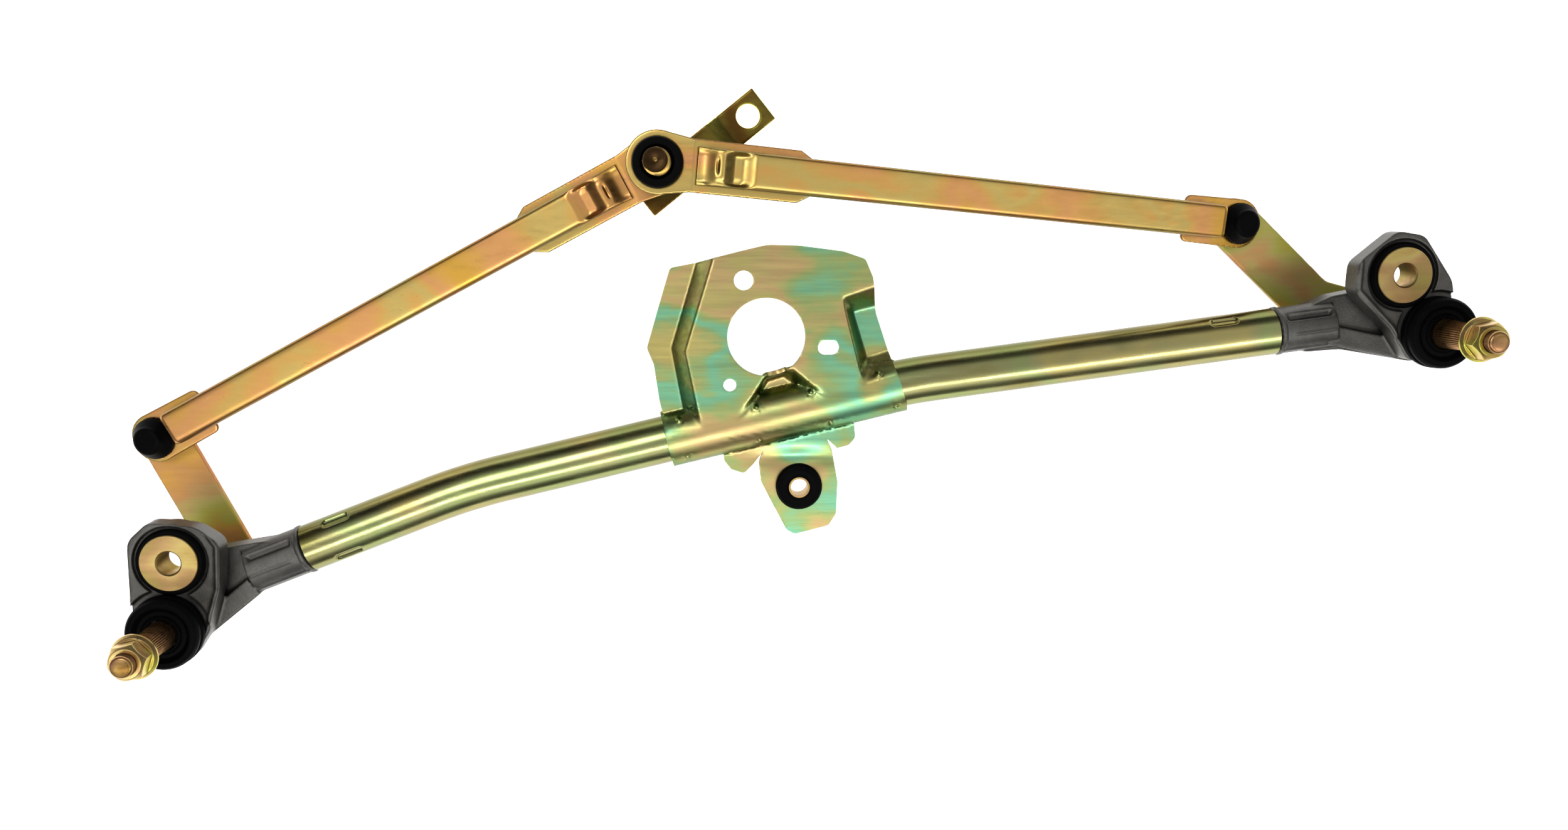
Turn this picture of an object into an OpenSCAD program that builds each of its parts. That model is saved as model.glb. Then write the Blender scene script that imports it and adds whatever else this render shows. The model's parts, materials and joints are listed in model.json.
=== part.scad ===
// Windshield wiper linkage: a bent cross tube with a die-cast pivot housing at each end, a pressed
// motor bracket clinched over the tube, two spindles with levers, and two pressed rods that meet on
// the double ball stud of a crank arm.
// Millimetres. Origin: centre of the motor shaft hole in the top face of the bracket. +Z is the
// bracket's normal, towards the threaded spindle ends. +X runs along the cross tube.

/* [Cross tube] */
// Outer diameter of the cross tube
tube_d = 22; // [20:0.5:24]
// Wall thickness of the cross tube
tube_wall = 1.5; // [1:0.1:2]
// Radius of the two bends, on the tube's centreline
tube_bend_r = 260; // [200:10:300]
// Depth of the tube's centreline below the bracket's top face
tube_drop = 13; // [13:0.5:15]

/* [Motor bracket] */
// Sheet thickness of the pressed bracket
sheet = 2; // [1.5:0.25:2.5]
// Depth of the pressed recesses
recess_depth = 8; // [6:0.5:9]
// Radius of the motor shaft hole
motor_hole_r = 17.8; // [16:0.1:19]
// Radius of the circle that the three motor fixings lie on
motor_fixing_r = 27.6; // [26.5:0.1:28.5]
// Radius of the hole in the bracket's grommet sleeve
tongue_sleeve_r = 4; // [3:0.25:4.5]

/* [Pivots and spindles] */
// Distance from the spindle to the mounting hole in each housing's ear
ear_pitch = 32; // [31:0.5:33]
// Radius of the hole in each mounting sleeve
mount_sleeve_r = 5.25; // [4:0.25:6]
// Radius of the spindle in its bushes
journal_r = 6.5; // [6:0.1:7]
// Radial running clearance of the spindle in its bushes
running_gap = 0.05; // [0.02:0.01:0.09]
// Radius of the thread at the spindle's tip
thread_r = 4.9; // [4:0.1:5]
// Height of the spindle's tip above the bracket's top face
tip_z = 56; // [54:1:60]

/* [Levers and rods] */
// Thickness of the levers and of the crank arm
lever_t = 4; // [3.5:0.25:4.5]
// Radius of the ball studs
ball_r = 5.8; // [5:0.1:6]
// Gap between a ball and its socket
ball_gap = 0.3; // [0.2:0.05:0.4]
// Width of a rod's channel
channel_w = 16; // [14:0.5:18]
// Height of a rod's channel
channel_h = 7.5; // [6:0.5:8]
// Sheet thickness of the rods
rod_sheet = 1.6; // [1.2:0.1:2]
// Width of the rod's eye plates
eye_w = 22.5; // [20:0.5:24]

/* [Hidden] */
$fn = 64;
eps = 0.01;
fit = 0.05;

// Plan positions of the joints, and their heights
left_pivot = [-272, -131];
right_pivot = [311.5, 1];
left_ball = [-286.5, -49];
right_ball = [230.5, 50.5];
crank_pin = [-47.2, 77];
lever_ball_z = -34;
lower_ball_z = 17.5;
upper_ball_z = 30;
lever_top = -40;
lever_bottom = lever_top - lever_t;

// Cross tube: ends and the corners of its centreline
tube_r = tube_d / 2;
tube_left = [-212, -98];
tube_bend_1 = [-138.7, -70.1];
tube_bend_2 = [67, -22.3];
tube_right = [241, 0];
// The wall is this much thinner on each side along a bend
bend_thinning = 0.15;
left_slope = heading(tube_left, tube_bend_1);
mid_slope = heading(tube_bend_1, tube_bend_2);
right_slope = heading(tube_bend_2, tube_right);

// Bracket outline, corner by corner with its rounding radius
plate_outline = [
    [-43.5, 31, 2.5], [-49, 13, 0], [-54.5, -5.5, 4], [-51.4, -13, 4], [-49, -30, 4], [-45, -47, 0],
    [62.5, -23.2, 0], [58, -11, 5], [51, 10, 6], [48.5, 27, 3], [45, 35.2, 3],
    [35, 38.6, 10], [15, 41.2, 20], [0.5, 41.6, 20], [-11.5, 38.8, 12], [-23.5, 35.8, 8], [-32, 33.2, 8]
];
// The saddle stands this much proud of the top face, along its crest
crest = 0.35;
saddle_left = -115.5;
saddle_right = -3.5;
// Pressed recesses: a centre, the wall's top edge, its foot, and points that close it past the edge.
// Each path has the recess on its right
wing_centre = [-120, 0];
wing_top = [[-20, 48], [-36.8, -6.5], [-28.4, -47]];
wing_foot = [[-27, 48], [-43.2, -5.6], [-36, -47]];
wing_close = [[-80, -47], [-80, 48]];
pocket_centre = [62, 4];
pocket_top = [[62, -16.5], [44.3, -22], [34.5, 17.6], [56, 25]];
pocket_foot = [[62, -5.5], [47, -10.5], [40.3, 11], [58, 15]];
pocket_close = [[80, 25], [80, -16.5]];
gusset_centre = [7, -32];
gusset_top = [[-13.6, -38], [-0.6, -18.4], [12.3, -14.8], [29.5, -29]];
gusset_foot = [[-6.5, -36], [0.7, -21], [8.3, -18.6], [20, -29]];
gusset_close = [];
// Skirt flange with the tongue, and the tongue's hole
flange_outline = [
    [-19, -47, 0], [-19.5, -59, 3], [-16, -63.5, 3], [-10, -65.5, 2], [-5.5, -61, 0], [-3, -60.5, 0],
    [-2, -69.5, 3], [3, -79.5, 4], [10, -93, 4], [14, -95.2, 3], [30, -91.2, 3], [33.6, -85.5, 3],
    [34.2, -70, 3], [31.5, -55, 0], [34, -54, 0], [39.5, -52.5, 3], [42.5, -49, 3], [41.5, -38, 0]
];
tongue_hole = [15.8, -71.8];
tongue_top = -13;

// Ear outlines and casting arms
left_ear_hole = left_pivot + ear_pitch * [cos(83.6), sin(83.6)];
right_ear_hole = right_pivot + ear_pitch * [cos(124.5), sin(124.5)];
left_ear = [
    [-277.5, -81, 6], [-257, -83, 12], [-246, -90.5, 7], [-247.5, -112, 12], [-254, -133, 8],
    [-262, -145, 6], [-281, -145, 10], [-287.5, -128, 12], [-286.8, -89.5, 8]
];
right_ear = [
    [289.5, 47.6, 7], [302.5, 45.5, 7], [317, 25, 10], [319.5, 12, 8], [324.5, -4, 9], [315, -14.5, 8],
    [299, -12, 6], [288.5, 3, 6], [271, 19, 8], [271.5, 33, 7]
];
left_arm = [
    [-226, -93, 0], [-219, -110, 0], [-243, -121.5, 4], [-263.5, -142, 4], [-283, -140, 4], [-277, -112, 0],
    [-252, -97, 0]
];
right_arm = [
    [256, -9.5, 0], [273, -8.4, 4], [309, -14.5, 5], [322, -4, 5], [306, 14, 4], [284, 20, 4], [268, 17, 4],
    [256, 12, 0]
];

// Spindle stations along Z
barrel_r = 13;
barrel_bottom = -36;
housing_top = 4;
bush_r = journal_r + 2;
bush_len = 12;
clip_z = 5;
boot_top = 14;
boot_r = 16.7;
knurl_z = [14, 38];
knurl_r = [6.9, 5.7];
nut_z = 40.5;
nut_flange_t = 2.5;
nut_h = 8;

// Rods: the crank end of each rod lies flat for this distance from the ball
crank_flat = 15;
crank_eye_r = 13.5;
lever_eye_r = 11.7;
eye_bore_r = 8.2;
open_eye_r = 10.3;
// Crank arm: a strip whose corner is given, with the pin on a lobe at its edge
arm_corner = [-59.8, 67.4];
arm_heading = 38.5;
arm_len = 68.2;
arm_w = 16.7;
arm_top = 10;
joggle = 4.5;
joggle_at = [42.5, 48.5];
hub_at = 59.3;
hub_r = 5.2;

// Geometry helpers
function heading(a, b) = atan2(b.y - a.y, b.x - a.x);
function unit(v) = v / norm(v);
function left_of(v) = [-v.y, v.x];
function fillet(a, b, c, r, steps = 6) =
    let (
        u = unit(a - b),
        v = unit(c - b),
        half = acos(u * v) / 2,
        centre = b + unit(u + v) * r / sin(half),
        first = b + u * r / tan(half) - centre,
        last = b + v * r / tan(half) - centre,
        start = atan2(first.y, first.x),
        sweep = (atan2(last.y, last.x) - start + 540) % 360 - 180
    )
    [for (i = [0 : steps]) centre + r * [cos(start + sweep * i / steps), sin(start + sweep * i / steps)]];
function plan(p) = [p.x, p.y];
function rounded(corners) =
    let (n = len(corners))
    [
        for (i = [0 : n - 1])
            let (b = corners[i])
            each b[2] == 0
                ? [plan(b)]
                : fillet(plan(corners[(i + n - 1) % n]), plan(b), plan(corners[(i + 1) % n]), b[2])
    ];
// Outline of a bent strip of width w whose centreline is a, b, c, with rounded ends
function dogleg(a, b, c, w) =
    let (
        u = unit(b - a),
        v = unit(c - b),
        mitre = unit(left_of(u) + left_of(v)),
        reach = w / 2 / (mitre * left_of(u)),
        side = w / 2,
        round_r = side - eps
    )
    rounded([
        concat(a - side * u - side * left_of(u), round_r),
        concat(b - reach * mitre, 8),
        concat(c + side * v - side * left_of(v), round_r),
        concat(c + side * v + side * left_of(v), round_r),
        concat(b + reach * mitre, 8),
        concat(a - side * u + side * left_of(u), round_r)
    ]);
function outward(points, centre, d) = [for (p = points) p + d * unit(p - centre)];

module slab(outline, z0, z1) {
    translate([0, 0, z0]) linear_extrude(z1 - z0) polygon(rounded(outline));
}

module disc(at, r, z0, z1) {
    translate([at.x, at.y, z0]) cylinder(r = r, h = z1 - z0);
}

module ring(at, r_out, r_in, z0, z1) {
    difference() {
        disc(at, r_out, z0, z1);
        disc(at, r_in, z0 - 1, z1 + 1);
    }
}

// Solid between two outlines of equal point count
module frustum(low, high, z0, z1) {
    n = len(low);
    points = concat([for (p = low) [p.x, p.y, z0]], [for (p = high) [p.x, p.y, z1]]);
    sides = [
        for (i = [0 : n - 1])
            let (j = (i + 1) % n)
            each [[i, n + i, n + j], [i, n + j, j]]
    ];
    caps = [[for (i = [0 : n - 1]) i], [for (i = [n - 1 : -1 : 0]) n + i]];
    polyhedron(points, concat(caps, sides));
}

// Cross tube ---------------------------------------------------------------------------------------
function bend_run(turn) = tube_bend_r * tan(abs(turn) / 2);

module straight(a, b, trim_a, trim_b) {
    length = norm(b - a) - trim_a - trim_b;
    translate([a.x, a.y, -tube_drop])
        rotate([0, 0, heading(a, b)])
            translate([trim_a, 0, 0])
                rotate([0, 90, 0])
                    difference() {
                        cylinder(r = tube_r, h = length);
                        translate([0, 0, -1]) cylinder(r = tube_r - tube_wall, h = length + 2);
                    }
}

// Bend to the right at a corner, from one heading to the next
module bend(corner, from, to) {
    turn = from - to;
    start = corner - bend_run(turn) * [cos(from), sin(from)];
    translate([start.x, start.y, -tube_drop])
        rotate([0, 0, from])
            translate([0, -tube_bend_r, 0])
                rotate([0, 0, 90 - turn])
                    rotate_extrude(angle = turn, $fn = 360)
                        translate([tube_bend_r, 0])
                            difference() {
                                circle(r = tube_r - bend_thinning, $fn = 64);
                                circle(r = tube_r - tube_wall + bend_thinning, $fn = 64);
                            }
}

// Crimp pressed into the tube wall near an end, to hold the casting's spigot
module crimp(end, slope, along, roll) {
    translate([end.x, end.y, -tube_drop])
        rotate([roll, 0, slope])
            translate([along - 6, -1.7, tube_r - 1])
                cube([12, 3.4, 3]);
}

module cross_tube() {
    lap = 0.4;
    cut_1 = bend_run(left_slope - mid_slope);
    cut_2 = bend_run(mid_slope - right_slope);
    color("darkkhaki")
        union() {
            difference() {
                straight(tube_left, tube_bend_1, 0, cut_1 - lap);
                for (roll = [-52, 50]) {
                    crimp(tube_left, left_slope, 18, roll);
                }
            }
            bend(tube_bend_1, left_slope, mid_slope);
            straight(tube_bend_1, tube_bend_2, cut_1 - lap, cut_2 - lap);
            bend(tube_bend_2, mid_slope, right_slope);
            difference() {
                straight(tube_bend_2, tube_right, cut_2 - lap, 0);
                for (roll = [-52, 128]) {
                    crimp(tube_right, right_slope, -25, roll);
                }
            }
        }
}

// Motor bracket ------------------------------------------------------------------------------------
// Sloping wall of a recess, one panel to each stretch of its path. Neighbours overlap a little
module recess_wall(top, foot, centre) {
    for (i = [0 : len(top) - 2]) {
        lap = 0.06 * unit(top[i + 1] - top[i]);
        crest_line = [top[i] - lap, top[i + 1] + lap];
        foot_line = [foot[i] - lap, foot[i + 1] + lap];
        back = outward(crest_line, centre, 1.4 * sheet);
        foot_back = foot_line + back - crest_line;
        frustum(
            [foot_line[0], foot_line[1], foot_back[1], foot_back[0]],
            [crest_line[0], crest_line[1], back[1], back[0]],
            -recess_depth - sheet,
            0
        );
    }
}

module recess_floor(foot, centre, close) {
    translate([0, 0, -recess_depth - sheet])
        linear_extrude(sheet)
            intersection() {
                polygon(concat(outward(foot, centre, 0.8 * sheet), close));
                polygon(rounded(plate_outline));
            }
}

module saddle_frame() {
    translate([tube_bend_2.x, tube_bend_2.y, -tube_drop]) rotate([0, 0, mid_slope]) children();
}

module saddle_bar(r, over) {
    translate([saddle_left - over, 0, 0])
        rotate([0, 90, 0])
            cylinder(r = r, h = saddle_right - saddle_left + 2 * over);
}

module saddle() {
    saddle_frame()
        intersection() {
            saddle_bar(tube_r + sheet + crest, 0);
            translate([saddle_left - 1, -20, -2.5]) cube([saddle_right - saddle_left + 2, 40, 20]);
        }
}

// Clinch dimples beside the tube, in pairs along the saddle
module dimple(along, across, z) {
    saddle_frame() translate([along, across, z]) sphere(r = 1.6, $fn = 24);
}

module motor_bracket() {
    mouth_lap = 0.6;
    color("yellowgreen")
        difference() {
            union() {
                translate([0, 0, -sheet])
                    linear_extrude(sheet)
                        difference() {
                            polygon(rounded(plate_outline));
                            polygon(concat(outward(wing_top, wing_centre, mouth_lap), wing_close));
                            polygon(concat(outward(pocket_top, pocket_centre, mouth_lap), pocket_close));
                            polygon(outward(gusset_top, gusset_centre, mouth_lap));
                        }
                recess_floor(wing_foot, wing_centre, wing_close);
                recess_floor(pocket_foot, pocket_centre, pocket_close);
                recess_floor(gusset_foot, gusset_centre, gusset_close);
                intersection() {
                    slab(plate_outline, -recess_depth - 2 * sheet, 1);
                    recess_wall(wing_top, wing_foot, wing_centre);
                }
                intersection() {
                    slab(plate_outline, -recess_depth - 2 * sheet, 1);
                    recess_wall(pocket_top, pocket_foot, pocket_centre);
                }
                recess_wall(gusset_top, gusset_foot, gusset_centre);
                saddle();
                slab(flange_outline, tongue_top - sheet, tongue_top);
                for (along = [-108, -74, -40, -9]) {
                    dimple(along, 10.5, 7.6);
                    dimple(along, -11.2, 6);
                }
            }
            saddle_frame() saddle_bar(tube_r + 0.2, 1);
            disc([0, 0], motor_hole_r, -sheet - 0.5, 1);
            disc(motor_fixing_r * [cos(111.7), sin(111.7)], 4.45, -sheet - 1, 1);
            disc(motor_fixing_r * [cos(232.7), sin(232.7)], 3, -sheet - 1, 1);
            for (x = [-1.5, 1.5]) {
                disc([28.4 + x, -5], 3.4, -sheet - 1, 1);
            }
            translate([28.4 - 1.5, -5 - 3.4, -sheet - 1]) cube([3, 6.8, sheet + 2]);
            disc(tongue_hole, 7.5, tongue_top - sheet - 1, tongue_top + 1);
        }
}

module bracket_grommet() {
    color("black")
        translate([tongue_hole.x, tongue_hole.y, tongue_top])
            rotate_extrude()
                polygon([
                    [4.95, -5.5], [8, -5.5], [10, -4.8], [10.9, -3.6], [10.9, -sheet - fit], [7.4, -sheet - fit],
                    [7.4, fit], [10.9, fit], [10.9, 2], [10, 3.4], [8, 4.2], [6.2, 4.2], [4.95, 3.6]
                ]);
}

module bracket_sleeve() {
    color("goldenrod")
        ring(tongue_hole, 4.9, tongue_sleeve_r, tongue_top - 6, tongue_top + 4.2);
}

// Pivot housings -----------------------------------------------------------------------------------
module collar_frame(end, slope, side) {
    translate([end.x, end.y, -tube_drop])
        rotate([0, 0, slope])
            rotate([0, side * 90, 0])
                children();
}

// Flat-topped ribs that run from the collar to the barrel, as a bar between two plan points
module rib(a, b, w, z0, z1) {
    translate([a.x, a.y, z0])
        rotate([0, 0, heading(a, b)])
            translate([0, -w / 2, 0])
                cube([norm(b - a), w, z1 - z0]);
}

module pivot_housing(pivot, ear_hole, ear, arm, end, slope, side, rib_from, rib_to) {
    color("darkgray")
        difference() {
            union() {
                slab(ear, -5, housing_top);
                slab(arm, -21, -9);
                rib(rib_from, rib_to, 9, -22, -4.5);
                disc(pivot, barrel_r + 2, -12, housing_top - 1);
                disc(pivot, barrel_r, barrel_bottom, housing_top);
                collar_frame(end, slope, side) cylinder(r = tube_r, h = 28);
                collar_frame(end, slope, side) cylinder(r = tube_r + 0.7, h = 3);
                collar_frame(end, slope, -side) cylinder(r = tube_r - tube_wall - fit, h = 30);
                disc(ear_hole, 17.5, -6, housing_top);
                difference() {
                    slab(ear, 0, housing_top + 2.2);
                    disc(ear_hole, 16.6, -1, housing_top + 3);
                    disc(pivot, boot_r + 2.5, -1, housing_top + 3);
                }
            }
            disc(ear_hole, 10, -10, housing_top + 3);
            disc(pivot, bush_r + fit, barrel_bottom - 1, housing_top + 4);
        }
}

module bush(pivot, z0) {
    color("tan") ring(pivot, bush_r, journal_r + running_gap, z0, z0 + bush_len);
}

module mount_grommet(at) {
    color("black")
        translate([at.x, at.y, housing_top])
            rotate_extrude()
                polygon([
                    [7.35, -12.5], [12.5, -12.5], [14, -11.6], [14, -10 - fit], [9.9, -10 - fit], [9.9, fit],
                    [15.2, fit], [15.2, 1.8], [14.2, 2.9], [13.05, 2.9], [13.05, 2.4], [7.35, 2.4]
                ]);
}

module mount_sleeve(at) {
    color("goldenrod")
        translate([at.x, at.y, housing_top])
            rotate_extrude()
                polygon([
                    [mount_sleeve_r, -11], [7.3, -11], [7.3, 2.45], [12.6, 2.45], [12.9, 2.75], [12.9, 3.7],
                    [12.6, 4], [mount_sleeve_r + 0.6, 4], [mount_sleeve_r, 3.4]
                ]);
}

module spindle_boot(pivot) {
    color("black")
        translate([pivot.x, pivot.y, 0])
            rotate_extrude()
                polygon([
                    [14.9, housing_top + fit], [boot_r, housing_top + fit], [boot_r, 7.2], [15.7, 8], [15.7, 8.8],
                    [boot_r - 0.3, 9.6], [boot_r - 0.3, 11.4], [15.2, 13], [12.6, boot_top], [11, 13.4],
                    [9.4, 12], [7.4, 12.6], [7.2, 11.8], [7.2, 10.2], [9.6, 9.6], [12.2, 11.2], [13.9, 10.2],
                    [14.2, 8]
                ]);
}

// Spindles -----------------------------------------------------------------------------------------
module spindle(pivot) {
    shoulder = -38.4;
    color("peru")
        translate([pivot.x, pivot.y, 0])
            difference() {
                rotate_extrude()
                    polygon([
                        [0, lever_bottom - 2], [8, lever_bottom - 2], [8.6, lever_bottom - 1.2],
                        [8.6, lever_bottom - fit], [5.9, lever_bottom - fit], [5.9, lever_top + fit],
                        [9, lever_top + fit], [9, shoulder], [journal_r, shoulder], [journal_r, clip_z],
                        [5.6, clip_z], [5.6, clip_z + 1.2], [journal_r, clip_z + 1.2], [journal_r, knurl_z[0]],
                        [knurl_r[0], knurl_z[0] + 0.8], [knurl_r[1], knurl_z[1]], [thread_r, knurl_z[1] + 0.6],
                        [thread_r, tip_z - 1.2], [thread_r - 1, tip_z], [0, tip_z]
                    ]);
                for (i = [0 : 11]) {
                    rotate([0, 0, i * 360 / 12])
                        translate([6.55, 0, 17])
                            rotate([0, -3, 0])
                                cylinder(r = 0.6, h = 18, $fn = 4);
                }
            }
}

module lever(path, ball, pivot, w) {
    color("khaki")
        translate([0, 0, lever_bottom])
            difference() {
                linear_extrude(lever_t) polygon(dogleg(path[0], path[1], path[2], w));
                disc(ball, 4.05, -1, lever_t + 1);
                disc(pivot, 5.95, -1, lever_t + 1);
            }
}

module ball_stud(ball) {
    neck_r = 4;
    color("silver")
        translate([ball.x, ball.y, 0])
            difference() {
                union() {
                    translate([0, 0, lever_ball_z]) sphere(r = ball_r);
                    translate([0, 0, lever_bottom - 0.5]) cylinder(r = neck_r, h = lever_ball_z - lever_bottom);
                    translate([0, 0, lever_bottom - 1.6]) cylinder(r1 = 4.8, r2 = 5.6, h = 1.55);
                }
                translate([-10, -10, lever_ball_z + 5]) cube([20, 20, 5]);
            }
}

module arm_nut(pivot) {
    hex_r = 7.5 / cos(30);
    color("goldenrod")
        translate([pivot.x, pivot.y, nut_z])
            difference() {
                union() {
                    cylinder(r1 = 10.1, r2 = 10.1, h = 1);
                    translate([0, 0, 1]) cylinder(r1 = 10.1, r2 = 8.9, h = nut_flange_t - 1);
                    intersection() {
                        rotate([0, 0, 12]) cylinder(r = hex_r, h = nut_flange_t + nut_h, $fn = 6);
                        cylinder(r1 = hex_r + 7, r2 = 6.7, h = nut_flange_t + nut_h);
                    }
                }
                translate([0, 0, -1]) cylinder(r = thread_r + fit, h = 20);
            }
}

module thrust_washer(pivot) {
    color("gray") ring(pivot, 11, journal_r + fit, -38.35, -36.3);
}

module retaining_clip(pivot) {
    color("dimgray")
        difference() {
            ring(pivot, 9.4, 5.7, clip_z + 0.1, clip_z + 1.1);
            translate([pivot.x - 1.6, pivot.y, clip_z]) cube([3.2, 12, 2]);
        }
}

// Rods ---------------------------------------------------------------------------------------------
// Rod axes: from the lever ball to the point where the crank end goes flat
function rod_len(ball) = norm(crank_pin - ball);
function rod_tilt(ball, z) = atan2(z - lever_ball_z, rod_len(ball) - crank_flat);
function beam_len(ball, z) = norm([rod_len(ball) - crank_flat, z - lever_ball_z]);

module beam_frame(ball, z) {
    translate([ball.x, ball.y, lever_ball_z])
        rotate([0, -rod_tilt(ball, z), heading(ball, crank_pin)])
            children();
}

module rod_channel(ball, z) {
    start = 12.5;
    finish = beam_len(ball, z) - 1.5;
    side = channel_w / 2;
    base = 1 + fit;
    pads = [[3, 8], [16, 10.5]];
    color("burlywood")
        beam_frame(ball, z)
            difference() {
                translate([start, -side, base]) cube([finish - start, channel_w, channel_h]);
                difference() {
                    translate([start - 1, -side + rod_sheet, base - 1])
                        cube([finish - start + 2, channel_w - 2 * rod_sheet, channel_h - rod_sheet + 1]);
                    for (pad = pads) {
                        translate([finish - pad[0] - pad[1], -side, base]) cube([pad[1], channel_w, 2.6]);
                    }
                }
                for (pad = pads) {
                    translate([finish - pad[0] - pad[1], -side + rod_sheet, base + 2.6])
                        cube([pad[1], channel_w - 2 * rod_sheet, channel_h]);
                }
                for (edge = [-1, 1]) {
                    translate([start - 1, edge * side, base + channel_h])
                        rotate([45, 0, 0])
                            translate([0, -1.1, -1.1])
                                cube([finish - start + 2, 2.2, 2.2]);
                }
            }
}

module rod_lever_eye(ball, z) {
    length = 31;
    color("tan")
        beam_frame(ball, z)
            difference() {
                union() {
                    translate([0, 0, -1]) cylinder(r = lever_eye_r, h = 2);
                    translate([0, 0, -1])
                        linear_extrude(2)
                            polygon(rounded([
                                [0, -lever_eye_r + fit, 0], [length, -lever_eye_r + 0.6, 3],
                                [length, lever_eye_r - 0.6, 3], [0, lever_eye_r - fit, 0]
                            ]));
                }
                translate([0, 0, -2]) cylinder(r = eye_bore_r, h = 4);
            }
}

module rod_crank_eye(ball, z, bore) {
    length = 69;
    finish = beam_len(ball, z);
    half = eye_w / 2;
    color("tan")
        difference() {
            union() {
                translate([crank_pin.x, crank_pin.y, z - 1])
                    rotate([0, 0, heading(ball, crank_pin)])
                        union() {
                            cylinder(r = crank_eye_r, h = 2);
                            linear_extrude(2)
                                polygon([
                                    [-3, -crank_eye_r + 0.4], [-crank_flat - 0.3, 0.2 - half],
                                    [-crank_flat - 0.3, half - 0.2], [-3, crank_eye_r - 0.4]
                                ]);
                        }
                beam_frame(ball, z)
                    translate([finish, 0, -1])
                        linear_extrude(2)
                            polygon([
                                [0.3, -half], [0.3, half], [crank_flat - length + 7, half],
                                [crank_flat - length, half - 4], [crank_flat - length, 4 - half],
                                [crank_flat - length + 7, -half]
                            ]);
            }
            disc(crank_pin, bore, z - 3, z + 3);
        }
}

module socket_cavity() {
    sphere(r = ball_r + ball_gap);
    translate([0, 0, -10]) cylinder(r = 5.5, h = 10);
}

module lever_socket(ball, z) {
    color("black")
        beam_frame(ball, z)
            difference() {
                rotate_extrude()
                    polygon([
                        [0, -3.6], [8.6, -3.6], [9.4, -2.6], [9.4, -1 - fit], [eye_bore_r - fit, -1 - fit],
                        [eye_bore_r - fit, 1 + fit], [10.4, 1 + fit], [10.4, 3.2], [9.4, 5], [7.6, 8.6],
                        [6.9, 11], [5.6, 12], [0, 12]
                    ]);
                socket_cavity();
            }
}

module lower_crank_socket() {
    color("black")
        translate([crank_pin.x, crank_pin.y, lower_ball_z])
            difference() {
                rotate_extrude()
                    polygon([
                        [0, -3.8], [9.6, -3.8], [10.7, -2.8], [10.7, -1 - fit], [eye_bore_r - fit, -1 - fit],
                        [eye_bore_r - fit, 1 + fit], [10.7, 1 + fit], [10.7, 3], [9.4, 4.2], [0, 4.2]
                    ]);
                socket_cavity();
                cylinder(r = 5.5, h = 10);
            }
}

module upper_crank_socket() {
    color("black")
        translate([crank_pin.x, crank_pin.y, upper_ball_z])
            difference() {
                rotate_extrude()
                    polygon([
                        [5, -4], [9.6, -4], [10.7, -3], [10.7, -1.3], [6.6, -1.3], [6.6, 1.3], [10.7, 1.3],
                        [10.7, 3], [9.6, 4.4], [5.9, 4.4], [5, 3.4]
                    ]);
                sphere(r = ball_r + fit);
            }
}

// Crank --------------------------------------------------------------------------------------------
module crank_arm() {
    hub_z = arm_top - joggle;
    color("saddlebrown")
        difference() {
            union() {
                translate([arm_corner.x, arm_corner.y, 0])
                    rotate([0, 0, arm_heading])
                        rotate([90, 0, 0])
                            linear_extrude(arm_w)
                                polygon([
                                    [0, arm_top - lever_t], [joggle_at[0], arm_top - lever_t],
                                    [joggle_at[1], hub_z - lever_t], [arm_len, hub_z - lever_t],
                                    [arm_len, hub_z], [joggle_at[1], hub_z], [joggle_at[0], arm_top],
                                    [0, arm_top]
                                ]);
                disc(crank_pin, 9.5, arm_top - lever_t, arm_top);
            }
            disc(crank_pin, 4.05, arm_top - lever_t - 1, arm_top + 1);
            translate([arm_corner.x, arm_corner.y, hub_z - lever_t - 1])
                rotate([0, 0, arm_heading])
                    translate([hub_at, -arm_w / 2, 0])
                        cylinder(r = hub_r, h = lever_t + 2);
        }
}

module crank_ball_stud() {
    arm_bottom = arm_top - lever_t;
    color("darkgoldenrod")
        translate([crank_pin.x, crank_pin.y, 0])
            union() {
                translate([0, 0, lower_ball_z]) sphere(r = ball_r);
                translate([0, 0, upper_ball_z]) sphere(r = ball_r);
                translate([0, 0, arm_bottom - 0.5]) cylinder(r = 4, h = upper_ball_z + 8 - arm_bottom);
                translate([0, 0, arm_bottom - 1.6]) cylinder(r1 = 4.8, r2 = 5.6, h = 1.55);
                translate([0, 0, upper_ball_z + 3]) cylinder(r = 4.6, h = 4);
            }
}

cross_tube();
motor_bracket();
bracket_grommet();
bracket_sleeve();
pivot_housing(left_pivot, left_ear_hole, left_ear, left_arm, tube_left, left_slope, -1,  // left_pivot_housing
        [-236, -114], [-262, -135]);
bush(left_pivot, housing_top - bush_len);  // left_upper_bush
bush(left_pivot, barrel_bottom);  // left_lower_bush
mount_grommet(left_ear_hole);  // left_mount_grommet
mount_sleeve(left_ear_hole);  // left_mount_sleeve
spindle_boot(left_pivot);  // left_spindle_boot
pivot_housing(right_pivot, right_ear_hole, right_ear, right_arm, tube_right, right_slope, 1,  // right_pivot_housing
        [266, -1], [300, -8]);
bush(right_pivot, housing_top - bush_len);  // right_upper_bush
bush(right_pivot, barrel_bottom);  // right_lower_bush
mount_grommet(right_ear_hole);  // right_mount_grommet
mount_sleeve(right_ear_hole);  // right_mount_sleeve
spindle_boot(right_pivot);  // right_spindle_boot
spindle(left_pivot);  // left_spindle
lever([left_ball, [-259, -105], left_pivot], left_ball, left_pivot, 22.7);  // left_lever
ball_stud(left_ball);  // left_ball_stud
arm_nut(left_pivot);  // left_arm_nut
thrust_washer(left_pivot);  // left_thrust_washer
retaining_clip(left_pivot);  // left_retaining_clip
spindle(right_pivot);  // right_spindle
lever([right_ball, [273, 11], right_pivot], right_ball, right_pivot, 24.5);  // right_lever
ball_stud(right_ball);  // right_ball_stud
arm_nut(right_pivot);  // right_arm_nut
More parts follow.
